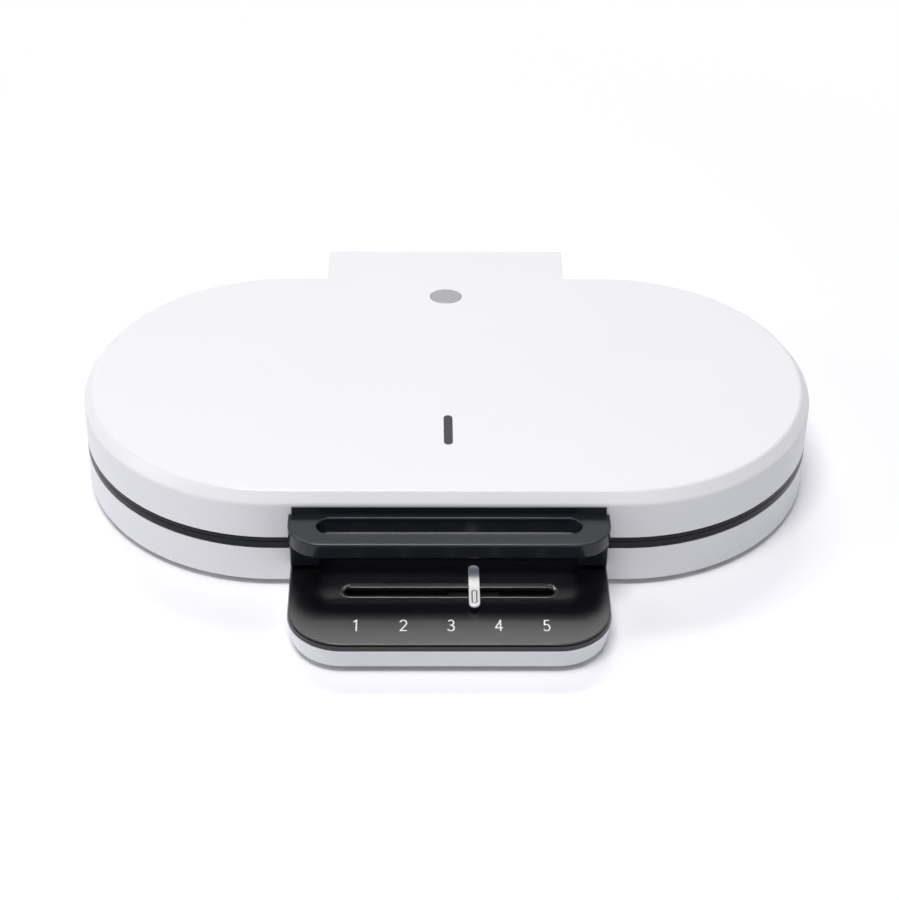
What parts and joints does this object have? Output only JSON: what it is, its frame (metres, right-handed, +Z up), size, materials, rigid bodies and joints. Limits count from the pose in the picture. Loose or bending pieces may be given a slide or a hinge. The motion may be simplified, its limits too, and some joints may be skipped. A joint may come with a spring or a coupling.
{
  "type": "double waffle maker",
  "caption": "Long oval waffle maker with a hinged lid, two heart-rosette plate pairs and a sliding temperature control on its front box.",
  "frame": {"origin": "on the floor under the centre of the outline seen from above, between the front of the control box and the back of the hinge tongue", "axes": "+X along the long oval to the right as seen from the control box, +Y from the control box to the hinge, +Z up"},
  "size_m": [0.462, 0.362, 0.0692],
  "materials": {
    "white_shell": "fine satin gloss",
    "black_trim": "satin",
    "black_panel": "semi-gloss",
    "dark_plastic": "matt",
    "nonstick_plate": "non-stick coating",
    "bright_aluminium": "rolled",
    "steel": "zinc plated",
    "knob": "pearl silver lacquer",
    "disc": "satin",
    "smoked_lens": "smoked clear plastic",
    "lamp_glass": "neon lamp",
    "ceramic": "heat-proof moulding",
    "rubber": "matt"
  },
  "bodies": {
    "base": {"base_cover": "dark_plastic", "base_shell": "white_shell", "control_panel": "black_panel", "cord_gland": "rubber", "cover_screw_1": "steel", "cover_screw_2": "steel", "cover_screw_3": "steel", "cover_screw_4": "steel", "cover_screw_5": "steel", "cover_screw_6": "steel", "foot_1": "rubber", "foot_2": "rubber", "foot_3": "rubber", "foot_4": "rubber", "fuse_clip": "steel", "hinge_bracket_left": "dark_plastic", "hinge_bracket_right": "dark_plastic", "hinge_bush_left": "ceramic", "hinge_bush_right": "ceramic", "hinge_pin": "steel", "lower_element": "steel", "lower_frame": "black_trim", "lower_plate": "nonstick_plate", "lower_plate_screw_1": "steel", "lower_plate_screw_2": "steel", "lower_plate_screw_3": "steel", "lower_plate_screw_4": "steel", "lower_reflector": "bright_aluminium", "slide_guide_front": "dark_plastic", "slide_guide_rear": "dark_plastic", "slider_bezel": "dark_plastic", "terminal_block": "ceramic", "thermal_fuse": "ceramic", "thermostat_body": "ceramic", "thermostat_bracket": "steel"},
    "lid": {"handle_apron": "black_trim", "handle_grip": "black_trim", "handle_screw_1": "steel", "handle_screw_2": "steel", "indicator_lamp": "lamp_glass", "indicator_lens": "smoked_lens", "lamp_holder": "ceramic", "lid_disc": "disc", "lid_shell": "white_shell", "upper_element": "steel", "upper_frame": "black_trim", "upper_plate": "nonstick_plate", "upper_plate_screw_1": "steel", "upper_plate_screw_2": "steel", "upper_plate_screw_3": "steel", "upper_plate_screw_4": "steel", "upper_reflector": "bright_aluminium"},
    "slider": {"slider_knob": "knob", "slider_carriage": "dark_plastic"},
    "thermostat": {"thermostat_shaft": "steel", "thermostat_lever": "steel"}
  },
  "joints": [
    {"name": "lid_hinge", "type": "hinge", "parent": "base", "child": "lid", "pos_m": [0, 0.167, 0.0341], "axis": [-1, 0, 0], "range_deg": [0, 95]},
    {"name": "slider_slide", "type": "slide", "parent": "base", "child": "slider", "axis": [1, 0, 0], "range_m": [-0.0707, 0.0413]},
    {"name": "thermostat_turn", "type": "hinge", "parent": "base", "child": "thermostat", "pos_m": [0, -0.046, 0.0087], "axis": [0, 0, 1], "range_deg": [-43.1, 25.2]}
  ],
  "couplings": [
    {"joint": "thermostat_turn", "follows": "slider_slide", "rad_per_m": 10.604}
  ]
}
